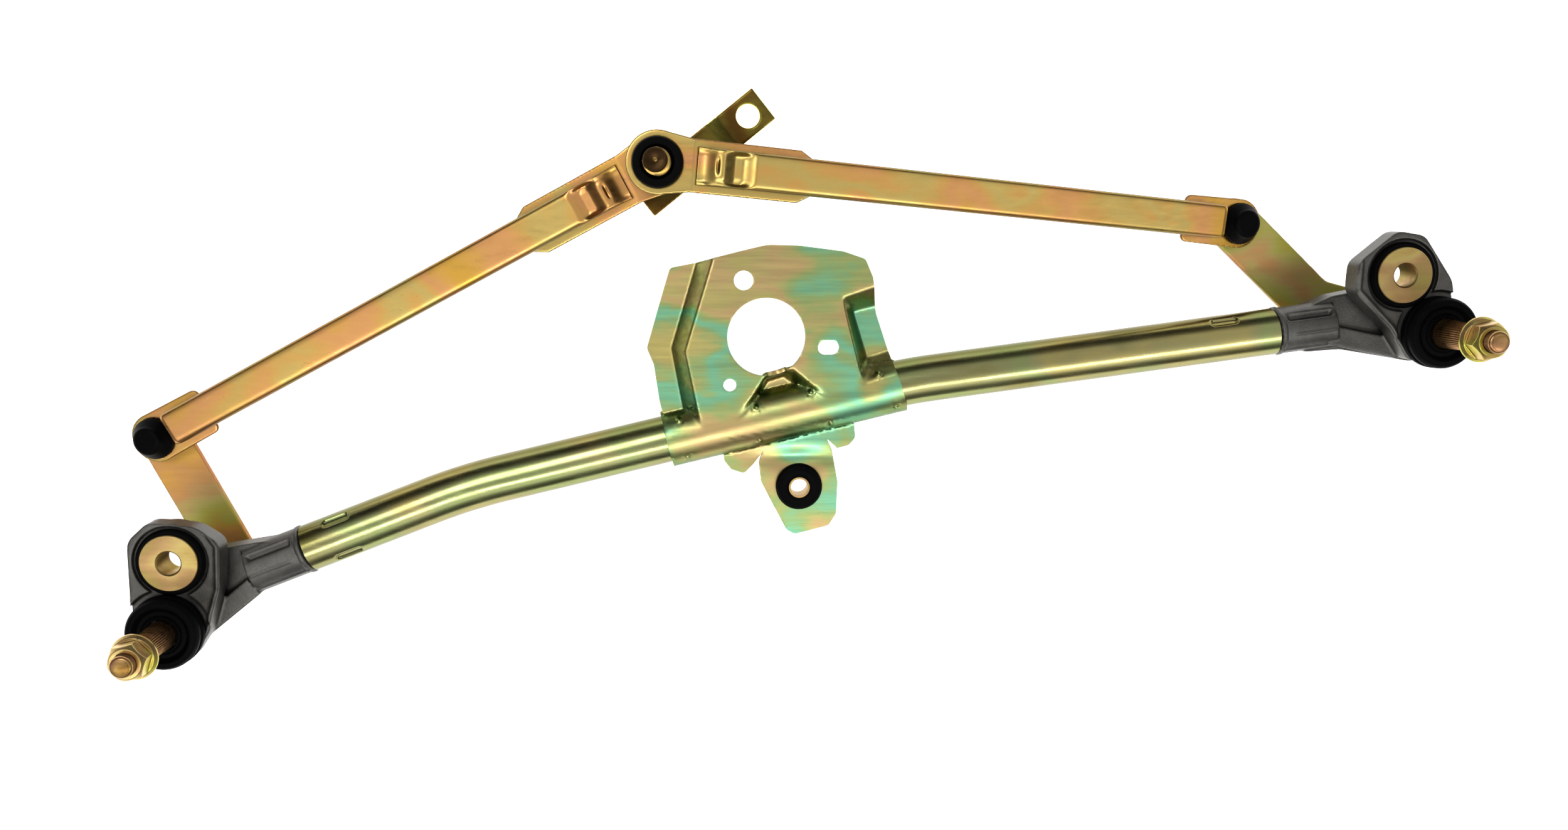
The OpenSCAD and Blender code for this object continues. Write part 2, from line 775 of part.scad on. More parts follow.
thrust_washer(right_pivot);  // right_thrust_washer
retaining_clip(right_pivot);  // right_retaining_clip
rod_channel(left_ball, lower_ball_z);  // left_rod_channel
rod_lever_eye(left_ball, lower_ball_z);  // left_rod_lever_eye
rod_crank_eye(left_ball, lower_ball_z, eye_bore_r);  // left_rod_crank_eye
lever_socket(left_ball, lower_ball_z);  // left_lever_socket
lower_crank_socket();
rod_channel(right_ball, upper_ball_z);  // right_rod_channel
rod_lever_eye(right_ball, upper_ball_z);  // right_rod_lever_eye
rod_crank_eye(right_ball, upper_ball_z, open_eye_r);  // right_rod_crank_eye
lever_socket(right_ball, upper_ball_z);  // right_lever_socket
upper_crank_socket();
crank_arm();
crank_ball_stud();
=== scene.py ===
"""Looks for the windshield wiper linkage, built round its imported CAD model. Metres throughout."""
import json
import math

import bmesh
import bpy
import mathutils.geometry
import numpy as np
from mathutils import Matrix, Vector


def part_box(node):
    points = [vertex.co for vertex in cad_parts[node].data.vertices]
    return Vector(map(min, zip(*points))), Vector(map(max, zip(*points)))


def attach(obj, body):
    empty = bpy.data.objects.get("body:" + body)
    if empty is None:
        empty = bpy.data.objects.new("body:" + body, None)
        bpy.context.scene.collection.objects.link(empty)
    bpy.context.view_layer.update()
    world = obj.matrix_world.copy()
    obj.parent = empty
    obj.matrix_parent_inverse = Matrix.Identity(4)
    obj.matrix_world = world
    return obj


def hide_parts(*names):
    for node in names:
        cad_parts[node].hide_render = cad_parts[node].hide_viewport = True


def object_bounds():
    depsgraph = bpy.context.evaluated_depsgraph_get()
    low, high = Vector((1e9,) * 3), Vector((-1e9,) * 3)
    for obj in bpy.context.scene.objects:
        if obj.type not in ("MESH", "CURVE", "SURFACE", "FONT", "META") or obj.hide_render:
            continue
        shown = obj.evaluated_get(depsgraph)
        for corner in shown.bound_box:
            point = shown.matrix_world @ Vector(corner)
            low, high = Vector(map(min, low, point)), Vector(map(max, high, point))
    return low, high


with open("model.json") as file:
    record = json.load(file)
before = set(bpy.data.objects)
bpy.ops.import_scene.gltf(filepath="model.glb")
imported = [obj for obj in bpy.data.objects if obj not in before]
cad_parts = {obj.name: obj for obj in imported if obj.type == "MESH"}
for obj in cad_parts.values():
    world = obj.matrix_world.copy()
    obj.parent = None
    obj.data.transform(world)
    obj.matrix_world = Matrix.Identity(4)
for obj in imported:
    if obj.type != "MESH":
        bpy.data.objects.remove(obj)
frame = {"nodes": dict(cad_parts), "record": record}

cad_bounds = [list(corner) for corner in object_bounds()]
NODES = frame["nodes"]
BODY_OF = {n: b for b, ns in frame["record"]["behaviour"]["bodies"].items() for n in ns}
SLOT_OF = {s["node"]: s["material_slot"] for s in frame["record"]["subparts"]}
MM = 0.001


# Materials ---------------------------------------------------------------------------------------
def fill_ramp(ramp, stops, interpolation="LINEAR"):
    cr = ramp.color_ramp
    cr.interpolation = interpolation
    while len(cr.elements) > 1:
        cr.elements.remove(cr.elements[-1])
    cr.elements[0].position, cr.elements[0].color = stops[0]
    for at, colour in stops[1:]:
        cr.elements.new(at).color = colour


class Graph:
    """A short way to write a material's nodes."""

    def __init__(self, name):
        self.material = bpy.data.materials.new(name)
        self.material.use_nodes = True
        self.nodes = self.material.node_tree.nodes
        self.links = self.material.node_tree.links
        self.shader = self.nodes["Principled BSDF"]
        self.place = self.add("ShaderNodeTexCoord").outputs["Object"]

    def add(self, kind, **values):
        node = self.nodes.new(kind)
        for key, value in values.items():
            setattr(node, key, value)
        return node

    def feed(self, socket, value):
        if hasattr(value, "is_output"):
            self.links.new(value, socket)
        else:
            socket.default_value = value

    def noise(self, scale, detail, rough, warp=0.0, stretch=(1, 1, 1), turn=0.0, seed=0.0):
        mapping = self.add("ShaderNodeMapping")
        mapping.inputs["Scale"].default_value = stretch
        mapping.inputs["Rotation"].default_value = (0, 0, turn)
        mapping.inputs["Location"].default_value = (seed, seed * 1.7, seed * 0.6)
        self.links.new(self.place, mapping.inputs["Vector"])
        noise = self.add("ShaderNodeTexNoise")
        self.links.new(mapping.outputs[0], noise.inputs["Vector"])
        noise.inputs["Scale"].default_value = scale
        noise.inputs["Detail"].default_value = detail
        noise.inputs["Roughness"].default_value = rough
        noise.inputs["Distortion"].default_value = warp
        return noise.outputs["Fac"]

    def ramp(self, factor, stops, interpolation="LINEAR"):
        ramp = self.add("ShaderNodeValToRGB")
        self.feed(ramp.inputs[0], factor)
        fill_ramp(ramp, stops, interpolation)
        return ramp.outputs[0]

    def span(self, factor, low, high, out_low=0.0, out_high=1.0):
        node = self.add("ShaderNodeMapRange")
        self.feed(node.inputs["Value"], factor)
        limits = {"From Min": low, "From Max": high, "To Min": out_low, "To Max": out_high}
        for key, value in limits.items():
            node.inputs[key].default_value = value
        return node.outputs[0]

    def math(self, kind, a, b):
        node = self.add("ShaderNodeMath", operation=kind)
        self.feed(node.inputs[0], a)
        self.feed(node.inputs[1], b)
        return node.outputs[0]

    def mix(self, factor, a, b, kind="MIX"):
        node = self.add("ShaderNodeMix", data_type="RGBA", blend_type=kind)
        self.feed(node.inputs[0], factor)
        self.feed(node.inputs[6], a)
        self.feed(node.inputs[7], b)
        return node.outputs[2]

    def height(self, vector):
        split = self.add("ShaderNodeSeparateXYZ")
        self.links.new(vector, split.inputs[0])
        return split.outputs["Z"]

    def bump(self, height, strength, distance):
        node = self.add("ShaderNodeBump")
        node.inputs["Strength"].default_value = strength
        node.inputs["Distance"].default_value = distance
        self.links.new(height, node.inputs["Height"])
        self.links.new(node.outputs[0], self.shader.inputs["Normal"])

    def set(self, **values):
        for key, value in values.items():
            self.feed(self.shader.inputs[key.replace("_", " ")], value)


def rgb(r, g, b):
    return (r, g, b, 1)


def zinc(name, tones, size, turn=0.0, seed=0.0, scuff=0.35, rough=(0.24, 0.42), grain=1.0, metal=1.0,
         painted_slope_shading=None, worn=None):
    """Yellow-passivated zinc on steel: drifting interference tints, rolling grain, scuffs and small pits.

    size is the pattern's scale, so a larger one gives smaller patches. The slope tint multiplies the colour
    where
    the surface leans over: painted shade on sloped sides where it is below one, a painted highlight where it
    is above one. worn is a height in metres, and the colour above it.
    """
    g = Graph(name)
    drift = g.noise(size, 2, 0.45, 0.25, (0.8, 1.1, 1), turn, seed)
    fine = g.noise(size * 4.2, 3, 0.6, 0.3, (0.6, 1.4, 1), turn, seed + 3)
    tint = g.math("ADD", g.math("MULTIPLY", drift, 0.86), g.math("MULTIPLY", fine, 0.14))
    first, last = 0.32, 0.68
    step = (last - first) / (len(tones) - 1)
    colour = g.ramp(tint, [(first + step * i, rgb(*tone)) for i, tone in enumerate(tones)], "B_SPLINE")
    streak = g.noise(420, 4, 0.65, 0.0, (0.05, 1, 1), turn, seed + 5)
    dulled = g.mix(1.0, colour, rgb(0.62, 0.56, 0.42), "MULTIPLY")
    colour = g.mix(g.span(streak, 0.35, 0.75, 0, 0.16), colour, dulled)
    marks = g.noise(130, 5, 0.7, 0.4, (0.7, 1.1, 1), turn + 0.5, seed + 8)
    scuffs = g.span(marks, 0.62, 0.76, 0, scuff)
    colour = g.mix(scuffs, colour, rgb(0.13, 0.11, 0.07))
    pits = g.noise(1500, 2, 0.5, seed=seed + 11)
    colour = g.mix(g.span(pits, 0.70, 0.78, 0, 0.35), colour, rgb(0.2, 0.15, 0.08))
    # Painted light and shade: the colour is multiplied by the slope tint where the surface leans over, darker
    # sides as painted shade, brighter ones as a painted highlight.
    if painted_slope_shading:
        facing = g.height(g.place.node.outputs["Normal"])
        slope_shaded_colour = g.mix(1.0, colour, rgb(*painted_slope_shading), "MULTIPLY")
        colour = g.mix(g.span(facing, 0.42, 0.94), slope_shaded_colour, colour)
    if worn:
        above, tone = worn
        head = g.span(g.height(g.place), above - 0.0002, above + 0.0001)
        colour = g.mix(head, colour, rgb(*tone))
    roughness = g.math("ADD", g.span(streak, 0.3, 0.7, *rough), g.math("MULTIPLY", scuffs, 0.3))
    grit = g.noise(2600, 2, 0.6, 0.0, (0.3, 1, 1), turn, seed + 13)
    relief = g.math("ADD", g.math("MULTIPLY", streak, 0.6), g.math("MULTIPLY", grit, 0.4))
    g.set(Base_Color=colour, Metallic=metal, Roughness=roughness)
    g.bump(relief, 0.16 * grain, 0.0002)
    return g.material


def cast(name, base):
    """Die-cast metal: satin grey skin with flow marks, fine sand grain and darker handling stains."""
    g = Graph(name)
    flow = g.noise(45, 4, 0.6, 0.6, turn=0.5)
    sand = g.noise(1100, 4, 0.7, seed=2)
    dark = tuple(c * 0.62 for c in base)
    light = tuple(min(1, c * 1.3) for c in base)
    colour = g.ramp(flow, [(0.3, rgb(*dark)), (0.52, rgb(*base)), (0.72, rgb(*light))])
    colour = g.mix(g.span(sand, 0.4, 0.7, 0, 0.3), colour, rgb(*(c * 0.5 for c in base)))
    g.set(Base_Color=colour, Metallic=0.85, Roughness=g.span(flow, 0.3, 0.7, 0.36, 0.5))
    g.bump(g.math("ADD", g.math("MULTIPLY", sand, 0.7), g.math("MULTIPLY", flow, 0.9)), 0.6, 0.0003)
    return g.material


def moulded(name, base, rough, seed, dust=0.12):
    """Black rubber or plastic with a fine mould texture, faint flow bloom and a little dust."""
    g = Graph(name)
    bloom = g.noise(90, 4, 0.6, 0.5, seed=seed)
    pore = g.noise(2400, 2, 0.5, seed=seed + 2)
    specks = g.noise(900, 3, 0.7, seed=seed + 4)
    colour = g.ramp(bloom, [(0.35, rgb(*base)), (0.7, rgb(*(c * 1.9 + 0.001 for c in base)))])
    colour = g.mix(g.span(specks, 0.66, 0.76, 0, dust), colour, rgb(0.32, 0.31, 0.28))
    g.set(Base_Color=colour, Roughness=g.span(bloom, 0.3, 0.7, rough - 0.07, rough + 0.09))
    g.set(Specular_IOR_Level=0.07)
    g.bump(pore, 0.25, 0.00015)
    return g.material


GOLD = (0.68, 0.42, 0.09)
TAN = (0.70, 0.43, 0.13)
PINK = (0.72, 0.38, 0.19)
LIME = (0.48, 0.50, 0.10)
SAGE = (0.38, 0.48, 0.20)
TEAL = (0.24, 0.58, 0.40)
OLIVE = (0.26, 0.22, 0.05)
BROWN = (0.17, 0.09, 0.02)
AMBER = (0.46, 0.31, 0.12)
RUST = (0.46, 0.26, 0.15)
MOSS = (0.34, 0.32, 0.10)
STRAW = (0.58, 0.50, 0.20)
BEIGE = (0.54, 0.49, 0.22)
MINT = (0.30, 0.54, 0.32)
ROSE = (0.62, 0.43, 0.23)
CORAL = (0.64, 0.32, 0.15)
REED = (0.46, 0.43, 0.24)
UMBER = (0.11, 0.06, 0.015)

STEEL = (0.5, 0.5, 0.48)
BRIGHT_STEEL = (0.6, 0.6, 0.57)
DULL_STEEL = (0.45, 0.45, 0.43)
SPRING_STEEL = (0.2, 0.2, 0.2)
WORN_SPRING_STEEL = (0.28, 0.28, 0.28)

COATS = {
    # The slope tint on the tube, bracket, rod and lever coats darkens their sloped sides: painted shade.
    "tube_zinc": dict(
        tones=(MOSS, REED, STRAW, REED, SAGE, REED, MOSS), size=16, turn=0.28, seed=1, scuff=0.12,
        rough=(0.19, 0.3), grain=0.5, painted_slope_shading=(0.36, 0.34, 0.22)),
    "bracket_zinc": dict(
        tones=(STRAW, BEIGE, ROSE, BEIGE, SAGE, MINT, TEAL, SAGE, BEIGE, STRAW), size=26, turn=0.5,
        seed=2.2, scuff=0.1, rough=(0.28, 0.42), painted_slope_shading=(0.15, 0.27, 0.09)),
    "rod_zinc": dict(
        tones=(GOLD, TAN, PINK, TAN, STRAW, TAN, PINK), size=22, turn=0.2, seed=4, scuff=0.04,
        rough=(0.26, 0.38), grain=0.6, painted_slope_shading=(0.22, 0.22, 0.12)),
    "lever_zinc": dict(
        tones=(GOLD, CORAL, GOLD, LIME, STRAW, CORAL, GOLD), size=22, turn=2.1, seed=5, scuff=0.06,
        rough=(0.36, 0.5), painted_slope_shading=(0.6, 0.45, 0.3), metal=0.62),
    # The crank's slope tint of five to six times brightens its sloped joggle and edges: a painted highlight.
    "crank_zinc": dict(
        tones=(UMBER, OLIVE, BROWN, UMBER, OLIVE, UMBER), size=30, turn=0.7, seed=6, scuff=0.25,
        rough=(0.26, 0.42), painted_slope_shading=(5.0, 6.0, 6.0)),
    "spindle_zinc": dict(
        tones=(BROWN, AMBER, RUST, BROWN, AMBER), size=60, seed=7, scuff=0.2, rough=(0.25, 0.4)),
    "nut_zinc": dict(
        tones=(AMBER, LIME, RUST, STRAW, AMBER), size=50, seed=8, scuff=0.12, rough=(0.26, 0.4)),
    "sleeve_zinc": dict(
        tones=(AMBER, STRAW, RUST, MOSS, AMBER), size=34, seed=9, scuff=0.08, rough=(0.34, 0.48)),
    "stud_steel": dict(
        tones=(GOLD, MOSS, AMBER, GOLD), size=60, seed=10, scuff=0.2, rough=(0.25, 0.4),
        worn=(0.0376, (0.06, 0.035, 0.015))),
    "washer_steel": dict(tones=(STEEL, BRIGHT_STEEL, DULL_STEEL), size=60, seed=11),
    "clip_steel": dict(tones=(SPRING_STEEL, WORN_SPRING_STEEL, SPRING_STEEL), size=60, seed=12),
}
LOOKS = {name: zinc(name, **coat) for name, coat in COATS.items()}
LOOKS["cast_metal"] = cast("cast_metal", (0.145, 0.141, 0.13))
LOOKS["bush_plastic"] = moulded("bush_plastic", (0.5, 0.42, 0.28), 0.5, 14)
LOOKS["socket_plastic"] = moulded("socket_plastic", (0.0012, 0.0012, 0.0012), 0.5, 15, 0.05)
LOOKS["rubber_black"] = moulded("rubber_black", (0.0014, 0.0015, 0.0018), 0.55, 16, 0.06)


# Mesh helpers --------------------------------------------------------------------------------------
def add_object(name, data):
    obj = bpy.data.objects.new(name, data)
    bpy.context.scene.collection.objects.link(obj)
    return obj


def mesh_object(name, points, faces):
    """A new object from points in millimetres."""
    mesh = bpy.data.meshes.new(name)
    mesh.from_pydata([tuple(c * MM for c in p) for p in points], [], [tuple(f) for f in faces])
    mesh.validate()
    bm = bmesh.new()
    bm.from_mesh(mesh)
    bmesh.ops.recalc_face_normals(bm, faces=bm.faces)
    bm.to_mesh(mesh)
    bm.free()
    return add_object(name, mesh)


def applied(obj):
    """The object with its modifiers applied."""
    bpy.context.view_layer.update()
    depsgraph = bpy.context.evaluated_depsgraph_get()
    mesh = bpy.data.meshes.new_from_object(obj.evaluated_get(depsgraph))
    obj.modifiers.clear()
    old = obj.data
    obj.data = mesh
    bpy.data.meshes.remove(old)
    return obj


def modify(obj, kind, **values):
    modifier = obj.modifiers.new(kind.lower(), kind)
    for key, value in values.items():
        setattr(modifier, key, value)


def rim(obj, width, angle):
    """Break the edges sharper than the angle by a small round."""
    modify(obj, "BEVEL", width=width * MM, segments=2, limit_method="ANGLE",
           angle_limit=math.radians(angle), harden_normals=False)
    return applied(obj)


def finish_piece(obj, node, sharp=38):
    """A finished mesh takes over from its CAD node: same body, same slot, same finish."""
    obj.data.materials.clear()
    obj.data.materials.append(LOOKS[SLOT_OF[node]])
    for polygon in obj.data.polygons:
        polygon.use_smooth = True
    if sharp:
        obj.data.set_sharp_from_angle(angle=math.radians(sharp))
    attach(obj, BODY_OF[node])
    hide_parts(node)
    return obj


def coords(obj):
    """The object's points as an array in millimetres."""
    flat = np.empty(len(obj.data.vertices) * 3)
    obj.data.vertices.foreach_get("co", flat)
    return flat.reshape(-1, 3) / MM


def set_coords(obj, points):
    """Move the object's points to places in millimetres."""
    obj.data.vertices.foreach_set("co", (points * MM).ravel())
    obj.data.update()


def ease(t):
    """A smooth step from 0 at t = 0 to 1 at t = 1."""
    t = np.clip(t, 0, 1)
    return t * t * (3 - 2 * t)


def window(t, low, high, soft):
    """1 between low and high, with soft shoulders."""
    return ease((t - low) / soft + 0.5) * ease((high - t) / soft + 0.5)


def welded_copy(node, name):
    mesh = NODES[node].data.copy()
    bm = bmesh.new()
    bm.from_mesh(mesh)
    bmesh.ops.remove_doubles(bm, verts=bm.verts, dist=1e-6)
    bm.to_mesh(mesh)
    bm.free()
    return add_object(name, mesh)


def softened(node, voxel, passes, keep, shape=None):
    """The node's shape with its edges rounded, as pressing, casting or tumbling leaves them."""
    obj = welded_copy(node, node + "_skin")
    modify(obj, "REMESH", mode="VOXEL", voxel_size=voxel * MM)
    modify(obj, "SMOOTH", factor=0.5, iterations=passes)
    applied(obj)
    if shape:
        set_coords(obj, shape(coords(obj)))
        modify(obj, "SMOOTH", factor=0.5, iterations=1)
    modify(obj, "DECIMATE", ratio=keep)
    applied(obj)
    return finish_piece(obj, node, sharp=0)


def centre(node):
    """The middle of a CAD node's box, in millimetres."""
    low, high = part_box(node)
    return np.array((low + high) / 2) / MM


def lathe(name, profile, at, sides=96, wave=None):
    """Turned piece round a vertical axis. Its profile is (radius, height) in millimetres.

    A profile that starts and ends off the axis is closed. wave(angle, radius, height) is added to the radius.
    """
    points, faces = [], []
    for i in range(sides):
        a = 2 * math.pi * i / sides
        for r, z in profile:
            rr = r + (wave(a, r, z) if wave else 0)
            points.append((at[0] + rr * math.cos(a), at[1] + rr * math.sin(a), z))
    n = len(profile)
    closed = profile[0][0] > 0 and profile[-1][0] > 0
    for i in range(sides):
        j = (i + 1) % sides
        for k in range(n if closed else n - 1):
            m = (k + 1) % n
            faces.append((i * n + k, j * n + k, j * n + m, i * n + m))
    obj = mesh_object(name, points, faces)
    bm = bmesh.new()
    bm.from_mesh(obj.data)
    bmesh.ops.remove_doubles(bm, verts=bm.verts, dist=1e-7)
    bmesh.ops.dissolve_degenerate(bm, edges=bm.edges, dist=1e-7)
    bmesh.ops.recalc_face_normals(bm, faces=bm.faces)
    bm.to_mesh(obj.data)
    bm.free()
    return obj


def rounded_profile(corners, steps=4):
    """(x, y, r) corners to a point list with rounded corners. An open path keeps its ends."""
    out = [corners[0][:2]]
    for before, here, after in zip(corners, corners[1:], corners[2:]):
        p, b, q = (np.array(c[:2], float) for c in (before, here, after))
        u, v = (p - b) / np.linalg.norm(p - b), (q - b) / np.linalg.norm(q - b)
        r = here[2]
        angle = math.acos(np.clip(u @ v, -1, 1)) / 2
        if r <= 0 or angle > 1.56:
            out.append(tuple(b))
            continue
        reach = min(r / math.tan(angle), 0.49 * np.linalg.norm(p - b), 0.49 * np.linalg.norm(q - b))
        for i in range(steps + 1):
            t = i / steps
            s, e = b + u * reach, b + v * reach
            out.append(tuple((1 - t) ** 2 * s + 2 * t * (1 - t) * b + t * t * e))
    out.append(corners[-1][:2])
    return out


def dense(path, pitch):
    """The path with points added so that they lie about a pitch apart. Its last point is left out."""
    out = []
    for a, b in zip(path, path[1:]):
        a, b = np.array(a), np.array(b)
        count = max(1, int(np.linalg.norm(b - a) / pitch))
        out += [a + (b - a) * i / count for i in range(count)]
    return out


def sweep(name, loop, stations, place):
    """A closed cross-section (y, z) carried along the stations. place(x, y, z) gives each point."""
    n = len(loop)
    points = [place(x, y, z) for x in stations for y, z in loop]
    faces = [
        (s * n + k, s * n + (k + 1) % n, (s + 1) * n + (k + 1) % n, (s + 1) * n + k)
        for s in range(len(stations) - 1)
        for k in range(n)
    ]
    faces.append(tuple(range(n))[::-1])
    faces.append(tuple((len(stations) - 1) * n + k for k in range(n)))
    return mesh_object(name, points, faces)


# Rods ----------------------------------------------------------------------------------------------
PIN = centre("crank_ball_stud")[:2]
CRANK_FLAT = 15  # the level stretch of a rod round the pin
LEVER_BALL_Z = -34
CRANK_BALL_Z = {"left": 17.5, "right": 30}


def beam(side):
    """A rod's frame: origin at the lever ball, x along the rod, z out of its top face; and its length."""
    ball = centre(side + "_ball_stud")[:2]
    run = np.linalg.norm(PIN - ball) - CRANK_FLAT
    rise = CRANK_BALL_Z[side] - LEVER_BALL_Z
    tilt, heading = math.atan2(rise, run), math.atan2(*(PIN - ball)[::-1])
    matrix = Matrix.Translation((*ball, LEVER_BALL_Z)) @ Matrix.Rotation(heading, 4, "Z")
    return matrix @ Matrix.Rotation(-tilt, 4, "Y"), math.hypot(run, rise)


def rod_channel(side):
    """Pressed channel with rounded shoulders, its web pressed down in two pads at the crank end."""
    rod_frame, length = beam(side)
    foot, top, half_w, sheet = 1.05, 8.55, 8.0, 1.6
    in_w, in_top = half_w - sheet, top - sheet
    outer = [(half_w, foot, 0), (half_w, top, 2.7), (-half_w, top, 2.7), (-half_w, foot, 0)]
    inner = [(-in_w, foot, 0), (-in_w, in_top, 1), (in_w, in_top, 1), (in_w, foot, 0)]
    outer, inner = rounded_profile(outer, 6), rounded_profile(inner, 3)
    loop = [*dense(outer, 1.1), outer[-1], *dense(inner, 1.1), inner[-1]]
    start, end = 12.5, length - 1.5
    press = end - 27  # where the pressed stretch begins
    stations = [*np.linspace(start, start + 4, 9), *np.linspace(start + 5, press, 90)]
    stations += list(np.linspace(press + 0.4, end, 84))

    def place(x, y, z):
        back = end - x  # distance back from the crank's end
        web = ease((7.7 - abs(y)) / 2.2)
        pads = window(back, -6, 5.0, 5.5) + window(back, 12.6, 21.4, 6.5)
        bridge = window(back, 5.0, 12.6, 4.5)
        slit = 1.2 * math.exp(-((back - 7.6) / 0.5) ** 2) * ease((3.2 - abs(y + 0.5)) / 1.2)
        rail = 0.9 * ease((y - 4.5) / 1.5) * ease((21 - back) / 4)
        drop = web * (3.0 * min(1.0, pads) + 0.7 * bridge + slit) + rail
        wall = 1 - 0.8 * ease((11 - back) / 13)  # the walls get lower towards the crank
        z = foot + (z - foot) * wall
        z = max(z - drop * wall, foot - 0.05 if z > foot + 0.6 else z)
        nose = ease((start + 1.6 - x) / 1.6)
        y *= 1 - 0.05 * nose
        z -= 0.5 * nose * (z - foot) / (top - foot)
        return tuple(rod_frame @ Vector((x, y, z)))

    node = side + "_rod_channel"
    return finish_piece(rim(sweep(node + "_skin", loop, stations, place), 0.25, 50), node)


# Motor bracket -------------------------------------------------------------------------------------
SHEET = 2.0
TUBE_R, TUBE_Z = 11.0, -13.0
TUBE_PATH = np.array([(-212, -98), (-138.7, -70.1), (67, -22.3), (241, 0)])
BRACKET_PLATE = [  # the outlines' corners, each with its rounding radius
    (-43.5, 31, 2.5), (-49, 13, 6), (-54.5, -5.5, 4), (-51.4, -13, 4), (-49, -30, 4), (-45, -47, 0),
    (62.5, -23.2, 0), (58, -11, 5), (51, 10, 6), (48.5, 27, 3), (45, 35.2, 3), (35, 38.6, 10),
    (15, 41.2, 20), (0.5, 41.6, 20), (-11.5, 38.8, 12), (-23.5, 35.8, 8), (-32, 33.2, 8),
]
BRACKET_FLANGE = [
    (-19, -47, 0), (-19.5, -59, 3), (-16, -63.5, 3), (-10, -65.5, 2), (-5.5, -61, 0), (-1.2, -55.5, 0),
    (-3, -60.5, 0), (-2, -69.5, 3), (3, -79.5, 4), (10, -93, 4), (14, -95.2, 3), (30, -91.2, 3),
    (33.6, -85.5, 3), (34.2, -70, 3), (31.5, -55, 0), (29.2, -49.5, 0), (34, -54, 0), (39.5, -52.5, 3),
    (42.5, -49, 3), (41.5, -38, 0),
]
RECESSES = (  # mouth and floor of each pressed recess, closed past the sheet's edge
    ([(-20, 48), (-36.8, -6.5), (-28.4, -47), (-80, -47), (-80, 48)],
     [(-27, 48), (-43.2, -5.6), (-36, -47), (-80, -47), (-80, 48)]),
    ([(62, -16.5), (44.3, -22), (34.5, 17.6), (56, 25), (80, 25), (80, -16.5)],
     [(62, -5.5), (47, -10.5), (40.3, 11), (58, 15), (80, 15), (80, -5.5)]),
    ([(-13.6, -38), (-0.6, -18.4), (12.3, -14.8), (29.5, -29)],
     [(-6.5, -36), (0.7, -21), (8.3, -18.6), (20, -29)]),
)
RECESS_DEPTH = 8
TUBE_AXIS = (TUBE_PATH[2] - TUBE_PATH[1]) / np.linalg.norm(TUBE_PATH[2] - TUBE_PATH[1])
TUBE_SIDE = np.array((-TUBE_AXIS[1], TUBE_AXIS[0]))
SADDLE = (-115.5, -3.5)  # its ends, along the tube from the second bend
SADDLE_R = TUBE_R + SHEET + 0.35
FIXING_R = 27.6  # pitch circle of the fixing holes


def closed_outline(corners):
    """Rounded closed outline from (x, y, r) corners."""
    loop = rounded_profile([corners[-1], *corners, corners[0]], 5)
    return np.array(loop[1:-1])


def inside(points, polygon):
    """Which points lie in the polygon."""
    x, y = points[:, 0], points[:, 1]
    hit = np.zeros(len(points), bool)
    ring = np.asarray(polygon, float)
    for (x0, y0), (x1, y1) in zip(ring, np.roll(ring, -1, 0)):
        crosses = (y0 > y) != (y1 > y)
        with np.errstate(divide="ignore", invalid="ignore"):
            hit ^= crosses & (x < (x1 - x0) * (y - y0) / (y1 - y0) + x0)
    return hit


def edge_distance(points, polygon):
    """How far each point lies from the polygon's edge."""
    ring = np.asarray(polygon, float)
    best = np.full(len(points), 1e9)
    for a, b in zip(ring, np.roll(ring, -1, 0)):
        ab = b - a
        t = np.clip(((points - a) @ ab) / (ab @ ab), 0, 1)
        best = np.minimum(best, np.linalg.norm(points - (a + t[:, None] * ab), axis=1))
    return best


def circle(at, r, count):
    angles = [2 * math.pi * i / count for i in range(count)]
    return [(at[0] + r * math.cos(a), at[1] + r * math.sin(a)) for a in angles]


def on_saddle(along, across):
    """A point over the tube's middle stretch, from its place along and across the tube."""
    return TUBE_PATH[2] + along * TUBE_AXIS + across * TUBE_SIDE


DIMPLES = [on_saddle(*spot) for spot in (
    (-108, 9.0), (-72, 6.6), (-46, 7.6), (-14, 8.2), (-108, -9.6), (-74, -9.6), (-40, -9.6), (-9, -9.6))]


def bracket_holes():
    """The motor's hole, two round fixing holes, the oval one, and the tongue's hole."""
    holes = [circle((0, 0), 17.8, 120)]
    for degrees, r in ((111.7, 4.45), (232.7, 3.0)):
        a = math.radians(degrees)
        holes.append(circle((FIXING_R * math.cos(a), FIXING_R * math.sin(a)), r, 40))
    oval = []
    for i in range(40):
        a = math.pi * (i / 19.5 - 0.5)
        oval.append((28.4 + (1.5 if i < 20 else -1.5) + 3.4 * math.cos(a), -5 + 3.4 * math.sin(a)))
    return [*holes, oval, circle((15.8, -71.8), 7.5, 56)]


def bracket_points(regions, holes):
    """A staggered grid over the sheet, rows of points beside the saddle's edges, and rings at the dimples."""
    step = 0.85
    xs, ys = np.arange(-58, 70, step), np.arange(-98, 44, step)
    grid = np.array([(x + (step / 2 if j % 2 else 0), y) for j, y in enumerate(ys) for x in xs])
    keep = np.zeros(len(grid), bool)
    near = np.full(len(grid), 1e9)
    for region in regions:
        keep |= inside(grid, region)
        near = np.minimum(near, edge_distance(grid, region))
    for hole in holes:
        keep &= ~inside(grid, hole)
        near = np.minimum(near, edge_distance(grid, hole))
    extra = []
    for across in (-13.3, -13.1, -12.6, -11.8, 11.8, 12.6, 13.1, 13.3):
        extra += [on_saddle(along, across) for along in np.arange(SADDLE[0] + 0.6, SADDLE[1], 1.2)]
    for spot in DIMPLES:
        near[np.linalg.norm(grid - spot, axis=1) < 2.4] = 0
        for r, count in ((0.45, 6), (0.85, 10), (1.2, 12), (1.7, 14), (2.3, 14)):
            angles = np.arange(count) * 2 * math.pi / count
            extra += [spot + r * np.array((math.cos(a), math.sin(a))) for a in angles]
        extra.append(spot)
    return [*grid[keep & (near > 0.45 * step)], *extra]


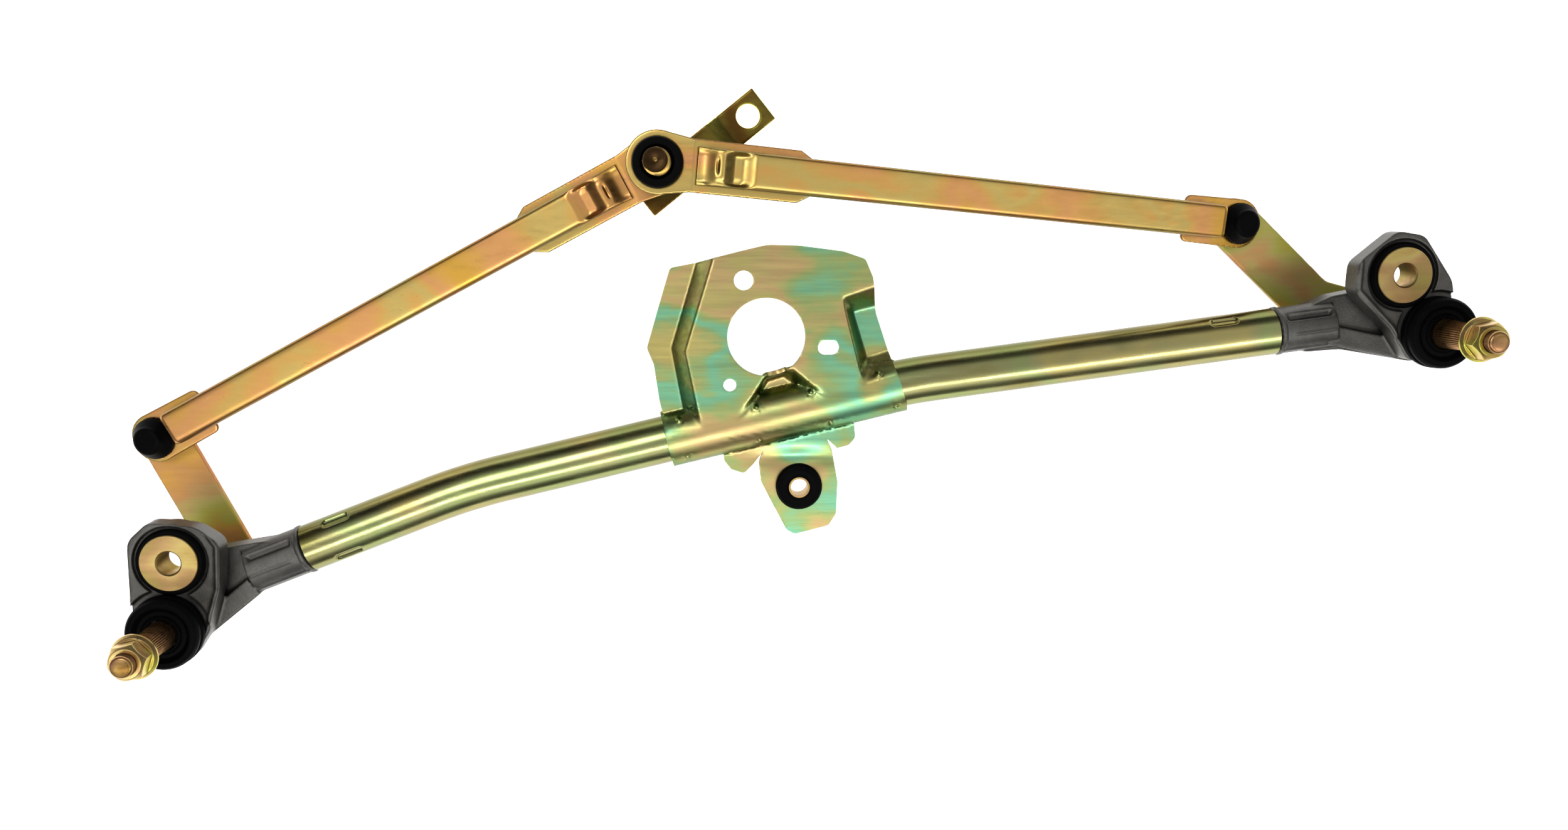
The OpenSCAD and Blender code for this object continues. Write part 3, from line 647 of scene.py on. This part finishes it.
def bracket_net(regions, holes):
    """The sheet's flat points and triangles."""
    verts, edges = [], []
    for loop in (*regions, *holes):
        ring = dense([*loop, loop[0]], 1.0)
        first = len(verts)
        verts += ring
        edges += [(first + i, first + (i + 1) % len(ring)) for i in range(len(ring))]
    verts += bracket_points(regions, holes)
    net = mathutils.geometry.delaunay_2d_cdt([Vector(v) for v in verts], edges, [], 0, 1e-5)
    flat, tris = np.array([tuple(v) for v in net[0]]), np.array(net[2])
    middles = flat[tris].mean(1)
    good = np.zeros(len(tris), bool)
    for region in regions:
        good |= inside(middles, region)
    for hole in holes:
        good &= ~inside(middles, hole)
    used, tris = np.unique(tris[good], return_inverse=True)
    return flat[used], tris.reshape(-1, 3)


def pressed_height(flat, tris, plate, flange):
    """Height of the sheet's top face at each flat point, with the folds rounded."""
    flange_z, hem_z, wall_z = TUBE_Z, -15.4, -8.5
    height = np.zeros(len(flat))
    for mouth, floor in RECESSES:
        inner = np.where(inside(flat, mouth), edge_distance(flat, mouth), 0)
        outer = np.where(inside(flat, floor), 0, edge_distance(flat, floor))
        height = np.minimum(height, -RECESS_DEPTH * inner / np.maximum(inner + outer, 1e-6))
    local = flat - TUBE_PATH[2]
    u, v = local @ TUBE_AXIS, local @ TUBE_SIDE  # along the tube, and across it
    on_plate = inside(flat, plate) | (edge_distance(flat, plate) < 0.05)
    on_flange = inside(flat, flange) | (edge_distance(flat, flange) < 0.05)
    height = np.where(on_plate & (v > -0.5), height, flange_z)
    bow = TUBE_Z + np.sqrt(np.maximum(SADDLE_R ** 2 - v ** 2, 0))
    on_bow = (np.abs(v) <= SADDLE_R + 0.01) & (u > SADDLE[0] - 0.1) & (u < SADDLE[1] + 0.1)
    lowest = np.where(on_flange | on_plate, flange_z, hem_z)
    over = np.maximum(np.where(v > 0, height, lowest), np.maximum(bow, lowest))
    height = np.where(on_bow, over, height)
    height = np.where(on_bow & (v > 0) & ~on_plate, np.maximum(bow, wall_z), height)
    links = np.concatenate([tris[:, [0, 1]], tris[:, [1, 2]], tris[:, [2, 0]]])
    links = np.unique(np.sort(links, 1), axis=0)
    degree = np.bincount(links.ravel(), minlength=len(flat))
    give = np.where(np.abs(v) > 9.5, 0.12, 0.5)  # away from the tube the folds stay crisper
    for _ in range(4):
        total = np.bincount(links[:, 0], height[links[:, 1]], len(flat))
        total += np.bincount(links[:, 1], height[links[:, 0]], len(flat))
        height = height + give * (total / degree - height)
    for spot in DIMPLES:
        height += 1.1 * np.exp(-np.linalg.norm(flat - spot, axis=1) ** 4)
    tongue_root = np.hypot((flat[:, 0] - 14.5) / 16, (flat[:, 1] + 58) / 4.0)
    return height - np.where(v < -13.5, 1.4 * np.exp(-tongue_root ** 2), 0)


def motor_bracket():
    """Pressed sheet as a height field over its outline, then given its thickness."""
    plate, flange = closed_outline(BRACKET_PLATE), closed_outline(BRACKET_FLANGE)
    left, right = SADDLE
    strip = [on_saddle(left, -SADDLE_R), on_saddle(right, -SADDLE_R), on_saddle(right - 2.8, SADDLE_R),
             on_saddle(left, SADDLE_R)]
    flat, tris = bracket_net((plate, strip, flange), bracket_holes())
    height = pressed_height(flat, tris, plate, flange)
    obj = mesh_object("motor_bracket_skin", np.column_stack([flat, height]), tris)
    if sum(p.normal.z for p in obj.data.polygons) < 0:
        obj.data.flip_normals()
    modify(obj, "SOLIDIFY", thickness=SHEET * MM, offset=-1, use_even_offset=False)
    return finish_piece(rim(applied(obj), 0.3, 60), "motor_bracket", sharp=50)


# Cross tube ----------------------------------------------------------------------------------------
BEND_R = 260.0
TUBE_WALL = 1.5
CRIMP_HALF = 8  # half the length of tube that a crimp disturbs
CRIMP_FROM_END = {"left": 18.0, "right": 25.0}
# each crimp: the path's end, how far along from it, and the angle round the tube
CRIMPS = ((0, CRIMP_FROM_END["left"], 38.0), (0, CRIMP_FROM_END["left"], 140.0),
          (3, -CRIMP_FROM_END["right"], 38.0), (3, -CRIMP_FROM_END["right"], 218.0))


def tube_stations():
    """Points and headings along the tube's centreline, denser beside the crimps."""
    legs = TUBE_PATH[1:] - TUBE_PATH[:-1]
    spans = np.linalg.norm(legs, axis=1)
    turn = np.unwrap(np.arctan2(legs[:, 1], legs[:, 0]))
    cut = [0.0] + [BEND_R * math.tan(abs(turn[i] - turn[i + 1]) / 2) for i in range(2)] + [0.0]
    crimped = {0: CRIMP_FROM_END["left"], 2: spans[2] - CRIMP_FROM_END["right"]}
    out = []
    for i, (leg, span) in enumerate(zip(legs, spans)):
        lead, tail = cut[i], span - cut[i + 1]
        marks = set(np.linspace(lead, tail, 1 + int((tail - lead) / 3.5)))
        if i in crimped:
            middle = crimped[i]
            marks = {m for m in marks if abs(m - middle) > CRIMP_HALF}
            marks |= set(np.linspace(middle - 7.7, middle + 7.7, 32))
        unit = leg / span
        out += [(TUBE_PATH[i] + unit * m, turn[i]) for m in sorted(marks)]
        if i < 2:
            swing = turn[i + 1] - turn[i]
            start = TUBE_PATH[i] + unit * tail
            hub = start + BEND_R * math.copysign(1, swing) * np.array((-unit[1], unit[0]))
            for k in range(1, 16):
                a = turn[i] + swing * k / 16
                side = np.array((math.sin(a), -math.cos(a))) * math.copysign(1, swing)
                out.append((hub + BEND_R * side, a))
    return out


def crimp_depth(at, along, degrees):
    """How far the tube's wall is pressed in at one of its points."""
    depth = 0.0
    for end, offset, angle in CRIMPS:
        u = (at - TUBE_PATH[end]) @ along - offset
        if abs(u) > CRIMP_HALF:
            continue
        round_tube = (degrees - angle + 180) % 360 - 180
        d = math.hypot(max(abs(u) - 4.6, 0), math.radians(round_tube) * TUBE_R)
        depth += 1.05 * float(ease((2.3 - d) / 1.1))
    return depth


def cross_tube():
    """Bent tube with its wall, and the slots crimped over the castings' spigots."""
    stations, count = tube_stations(), 96
    rings = len(stations)
    points = []
    for radius in (TUBE_R, TUBE_R - TUBE_WALL):
        for at, heading in stations:
            along = np.array((math.cos(heading), math.sin(heading)))
            left = np.array((-along[1], along[0]))
            for k in range(count):
                a = 2 * math.pi * k / count
                r = radius - crimp_depth(at, along, math.degrees(a))
                points.append((*(at + left * r * math.cos(a)), TUBE_Z + r * math.sin(a)))

    def band(a, b):
        """The faces between two rings of points."""
        after = [(k + 1) % count for k in range(count)]
        return [(a * count + k, a * count + m, b * count + m, b * count + k) for k, m in enumerate(after)]

    pairs = [(i, i + 1) for i in (*range(rings - 1), *range(rings, 2 * rings - 1))]
    pairs += [(0, rings), (rings - 1, 2 * rings - 1)]
    faces = [face for pair in pairs for face in band(*pair)]
    return finish_piece(mesh_object("cross_tube_skin", points, faces), "cross_tube", sharp=50)


# Turned pieces -------------------------------------------------------------------------------------
def boots_spindles():
    """The rubber boots, and the spindles with their knurled taper and rings of thread."""
    teeth = 40

    def knurl(a, r, z):
        deep = ease((z - 14.6) / 0.8) * ease((37.6 - z) / 0.8)
        return -0.3 * float(deep) * abs(math.sin(teeth * a / 2)) ** 0.7

    boot = closed_outline([
        (14.9, 4.05, 0), (16.7, 4.05, 0.6), (16.7, 7.2, 0.7), (15.7, 8, 0.4), (15.7, 8.8, 0.4),
        (16.4, 9.6, 0.7), (16.4, 11.6, 1.2), (15.2, 13.6, 1.6), (12.9, 14, 0.9), (11.9, 12.9, 0.6),
        (10.9, 11.7, 0.8), (9.2, 11.9, 0.6), (8.2, 13.4, 0.6), (7.3, 13.2, 0.3), (7.2, 10.2, 0.5),
        (9.6, 9.6, 0.8), (12.2, 10.4, 0.8), (13.9, 9.6, 0.8), (14.2, 8, 0.5),
    ])
    foot = [
        (0, -46), (7.4, -46), (8.3, -45.6), (8.6, -44.9), (8.6, -44.05), (5.9, -44.05), (5.9, -39.95),
        (9, -39.95), (9, -38.4), (6.5, -38.4), (6.5, 5), (5.6, 5), (5.6, 6.2), (6.5, 6.2), (6.5, 13.8),
        (6.9, 14.6),
    ]
    body = [(6.9 - 1.2 * (z - 14) / 24, z) for z in np.arange(15.4, 37.8, 1.4)]
    thread = [(5.6, 38.1), (4.9, 38.7)]
    for k in range(10):
        z = 39.2 + 1.5 * k
        thread += [(4.9, z), (4.35, z + 0.6), (4.35, z + 0.8), (4.9, z + 1.4)]
    tip = [(4.9, 54.3), (4.4, 55.0), (3.9, 55.3), (3.6, 55.35), (3.4, 55.7), (2.4, 55.93), (1.2, 56), (0, 56)]
    for side in ("left", "right"):
        at = centre(side + "_spindle")[:2]
        finish_piece(lathe(side + "_spindle_boot_skin", boot, at), side + "_spindle_boot", sharp=50)
        spindle = lathe(side + "_spindle_skin", foot + body + thread + tip, at, teeth * 6, knurl)
        finish_piece(spindle, side + "_spindle", sharp=40)


def crank_joint():
    """The upper ring, and the double stud with its worn head leaning a little to one side."""
    ring = closed_outline([
        (5.95, 26, 0), (9.6, 26, 0.5), (10.7, 27, 0.5), (10.7, 28.7, 0.1), (6.65, 28.7, 0.1),
        (6.65, 31.3, 0.1), (10.7, 31.3, 0.1), (10.7, 33.2, 0.6), (10.2, 34.4, 0.6), (7.3, 34.4, 0.5),
        (6.6, 33.2, 0.3), (5.95, 31, 0.2),
    ])
    finish_piece(lathe("upper_crank_socket_skin", ring, PIN), "upper_crank_socket", sharp=50)
    ball_r = 5.8

    def ball(middle, first, last):
        """A ball's profile between two angles from its equator, in degrees."""
        angles = [math.radians(a) for a in range(first, last + 1, 7)]
        return [(ball_r * math.cos(a), middle + ball_r * math.sin(a)) for a in angles]

    foot = [(0, 4.4), (4.8, 4.4), (5.6, 5.95), (4, 6), (4, 13.2)]
    neck = [(4, 22.3), (4, 25)]
    head = [(5.9, 35.2), (5.9, 35.6), (5.2, 35.9), (5.2, 37.6), (4.9, 38), (1.4, 38), (0.9, 37.6), (0, 37.6)]
    profile = foot + ball(CRANK_BALL_Z["left"], -48, 50) + neck + ball(CRANK_BALL_Z["right"], -50, 8) + head
    obj = lathe("crank_ball_stud_skin", profile, PIN, 64)
    points = coords(obj)
    lean = 0.8 * ease((points[:, 2] - 35.3) / 0.7)
    points[:, 0] -= lean
    points[:, 1] += lean
    set_coords(obj, points)
    return finish_piece(obj, "crank_ball_stud", sharp=40)


# Castings and caps ---------------------------------------------------------------------------------
def casting(side):
    """Draft lines, the drain groove and the edge bead of a pivot casting, pressed into its skin."""
    end, bend = (TUBE_PATH[0], TUBE_PATH[1]) if side == "left" else (TUBE_PATH[3], TUBE_PATH[2])
    out = (end - bend) / np.linalg.norm(end - bend)
    upward = np.array((-out[1], out[0])) * math.copysign(1, out[0])
    bead = {
        "left": [(-250, -86), (-246.4, -92), (-247.3, -112), (-254, -133), (-262, -145)],
        "right": [(271.8, 33), (271.5, 20), (288.5, 3), (299, -12)],
    }[side]

    def shape(points):
        flat = points[:, :2] - end
        x, y, z = flat @ out, flat @ upward, points[:, 2] - TUBE_Z
        r, a = np.hypot(y, z), np.degrees(np.arctan2(z, y))  # place round the tube's centreline
        skin = window(x, -1, 27, 1.5) * window(r, 10.0, 12.6, 0.6)
        groove = 2.3 * np.exp(-((a - 52) / 9) ** 4) * window(x, 5, 26, 2.5)
        ridge = 0.45 * np.exp(-((a - 97) / 2.6) ** 2) * window(x, 7, 30, 3)
        line = 0.5 * np.exp(-((a - 142) / 3.5) ** 2) * window(x, 2, 30, 2)
        gap = 1.9 * window(x, -1, 0.9, 0.5)
        collar = -0.25 * window(x, 1.2, 3.6, 0.6)
        change = skin * (ridge + line + collar - groove - gap)
        scale = 1 + change / np.maximum(r, 1)
        moved = points.copy()
        moved[:, :2] += (y * scale - y)[:, None] * upward
        moved[:, 2] += z * scale - z
        off_bead = np.full(len(points), 1e9)
        for p, q in zip(bead, bead[1:]):
            p, q = np.array(p, float), np.array(q, float)
            t = np.clip(((points[:, :2] - p) @ (q - p)) / ((q - p) @ (q - p)), 0, 1)
            away = np.linalg.norm(points[:, :2] - (p + t[:, None] * (q - p)), axis=1)
            off_bead = np.minimum(off_bead, away)
        lift = 0.9 * np.exp(-((off_bead - 1.2) / 1.1) ** 2)
        moved[:, 2] += np.where(points[:, 2] > 3.2, lift, 0)
        return moved

    return shape


def flatter_cap(side):
    """Press a lever socket's dome lower and its brim a little smaller, in the rod's own frame."""
    rod_frame, _ = beam(side)
    to_rod, to_part = np.array(rod_frame.inverted()), np.array(rod_frame)
    brim_z, dome_z = 1.1, 3.2

    def shape(points):
        local = points @ to_rod[:3, :3].T + to_rod[:3, 3]
        local[local[:, 2] > brim_z, :2] *= 0.94
        z = local[:, 2]
        local[:, 2] = np.where(z > dome_z, dome_z + 0.66 * (z - dome_z), z)
        return local @ to_part[:3, :3].T + to_part[:3, 3]

    return shape


# Camera and stage ----------------------------------------------------------------------------------
FLOOR_GAP = 0.002


def make_camera():
    """The photo's view: almost straight down, with its angle of view."""
    data = bpy.data.cameras.new("camera")
    data.sensor_width = 36
    data.lens = 30.456
    data.clip_start = 0.01
    camera = add_object("camera", data)
    camera.location = (-0.03, 0.05804, 0.6)
    camera.rotation_euler = [math.radians(degrees) for degrees in (-8.8772, -3.6252, 0)]
    bpy.context.scene.camera = camera


def area_light(name, at, size, watts):
    """A rectangular lamp that points at the origin."""
    data = bpy.data.lights.new(name, "AREA")
    data.shape = "RECTANGLE"
    data.size, data.size_y = size
    data.energy = watts
    lamp = add_object(name, data)
    lamp.location = at
    lamp.rotation_euler = (-Vector(at)).to_track_quat("-Z", "Y").to_euler()


def make_floor(floor_z):
    """A pale floor that glows evenly under the part and fades outwards."""
    bm = bmesh.new()
    bmesh.ops.create_grid(bm, x_segments=2, y_segments=2, size=4)
    mesh = bpy.data.meshes.new("floor")
    bm.to_mesh(mesh)
    bm.free()
    floor = add_object("floor", mesh)
    floor.location = (0, 0, floor_z)
    g = Graph("floor_white")
    reach = g.add("ShaderNodeVectorMath", operation="LENGTH")
    g.links.new(g.place, reach.inputs[0])
    g.set(Base_Color=rgb(0.9, 0.9, 0.9), Roughness=0.9, Specular_IOR_Level=0.1, Emission_Color=rgb(1, 1, 1))
    g.set(Emission_Strength=g.span(reach.outputs["Value"], 0.6, 2.2, 1.1, 0.3))
    mesh.materials.append(g.material)


def make_world():
    """Soft surroundings: dark at the horizon and below, brightest halfway up and towards one side."""
    world = bpy.data.worlds.new("world")
    bpy.context.scene.world = world
    world.use_nodes = True
    nodes, links = world.node_tree.nodes, world.node_tree.links
    nodes.clear()
    out = nodes.new("ShaderNodeOutputWorld")
    background = nodes.new("ShaderNodeBackground")
    direction = nodes.new("ShaderNodeTexCoord").outputs["Generated"]
    split = nodes.new("ShaderNodeSeparateXYZ")
    ramp = nodes.new("ShaderNodeValToRGB")
    links.new(direction, split.inputs[0])
    links.new(split.outputs["Z"], ramp.inputs[0])
    links.new(ramp.outputs[0], background.inputs["Color"])
    sideways = nodes.new("ShaderNodeVectorMath")
    sideways.operation = "DOT_PRODUCT"
    sideways.inputs[1].default_value = (0.38, -0.5, 0)
    strength = nodes.new("ShaderNodeMath")
    strength.operation = "ADD"
    strength.inputs[1].default_value = 1.0
    links.new(direction, sideways.inputs[0])
    links.new(sideways.outputs["Value"], strength.inputs[0])
    links.new(strength.outputs[0], background.inputs["Strength"])
    links.new(background.outputs[0], out.inputs[0])
    stops = ((0.0, 0.08), (0.3, 0.09), (0.5, 0.3), (0.66, 0.95), (0.84, 0.72), (1.0, 0.55))
    fill_ramp(ramp, [(at, rgb(v, v, v)) for at, v in stops])


# The part and its picture --------------------------------------------------------------------------
# pieces on both sides: voxel size, smoothing passes and share of triangles kept
SOFT = {
    "pivot_housing": (0.42, 9, 0.5),
    "rod_lever_eye": (0.35, 5, 0.4),
    "rod_crank_eye": (0.4, 5, 0.4),
    "lever": (0.45, 5, 0.3),
    "arm_nut": (0.2, 2, 0.3),
    "lever_socket": (0.35, 4, 0.4),
}
SHAPES = {"pivot_housing": casting, "lever_socket": flatter_cap}
for node, obj in NODES.items():
    obj.data.materials.clear()
    obj.data.materials.append(LOOKS[SLOT_OF[node]])
for piece, how in SOFT.items():
    for side in ("left", "right"):
        shape = SHAPES[piece](side) if piece in SHAPES else None
        softened(side + "_" + piece, *how, shape=shape)
softened("crank_arm", 0.4, 5, 0.4)
rod_channel("left")
rod_channel("right")
motor_bracket()
cross_tube()
boots_spindles()
crank_joint()

make_camera()
make_floor(cad_bounds[0][2] - FLOOR_GAP)
make_world()
area_light("strip", (0, -0.62, 1.1), (2.2, 0.12), 7)
area_light("key", (-0.5, 0.5, 1.4), (0.9, 0.5), 6)
bpy.context.scene.view_settings.view_transform = "Standard"
bpy.context.scene.view_settings.gamma = 0.84
